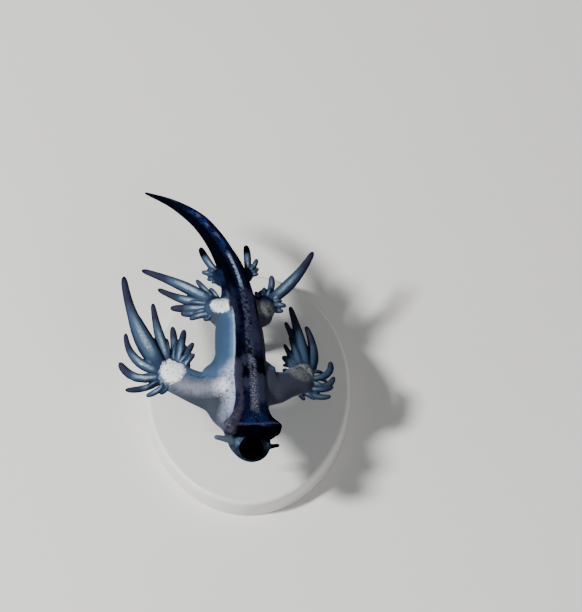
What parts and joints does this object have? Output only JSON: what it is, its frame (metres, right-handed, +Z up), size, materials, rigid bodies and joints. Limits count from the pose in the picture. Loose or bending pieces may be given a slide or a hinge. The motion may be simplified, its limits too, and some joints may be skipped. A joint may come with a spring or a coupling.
{
  "type": "blue dragon sea slug display model",
  "caption": "Life-size blue dragon sea slug floating belly up, with finger-like cerata fanned from paired arms, a dark striped sole and a curved tail, on a low oval stand",
  "frame": {"origin": "the middle of the underside of the stand's base", "axes": "+X is the right of the picture, +Y runs from the head to the tail, +Z is up, the side that the sole faces"},
  "size_m": [0.0249, 0.0349, 0.0129],
  "materials": {
    "silver_skin": "wet silver-blue skin",
    "navy_skin": "wet near-black navy skin",
    "cerata": "wet steel-blue skin, silver down the middle, dark at the tips",
    "mouth": "wet black",
    "base": "pale polished plastic",
    "rod": "fine polished steel"
  },
  "bodies": {
    "root": {"head": "silver_skin", "mouth": "mouth", "oral_tentacle_left": "navy_skin", "oral_tentacle_right": "navy_skin", "rhinophore_left": "navy_skin", "rhinophore_right": "navy_skin", "foot_front": "navy_skin", "foot_middle": "navy_skin", "foot_rear": "navy_skin", "body_front": "silver_skin", "body_middle": "silver_skin", "body_rear": "silver_skin", "tail_front": "navy_skin", "tail_middle": "navy_skin", "tail_tip": "navy_skin", "arm_front_left": "cerata", "arm_front_right": "cerata", "arm_middle_left": "cerata", "arm_middle_right": "cerata", "arm_rear_left": "cerata", "arm_rear_right": "cerata", "stand_base": "base", "stand_rod_front": "rod", "stand_rod_rear": "rod"}
  },
  "joints": []
}
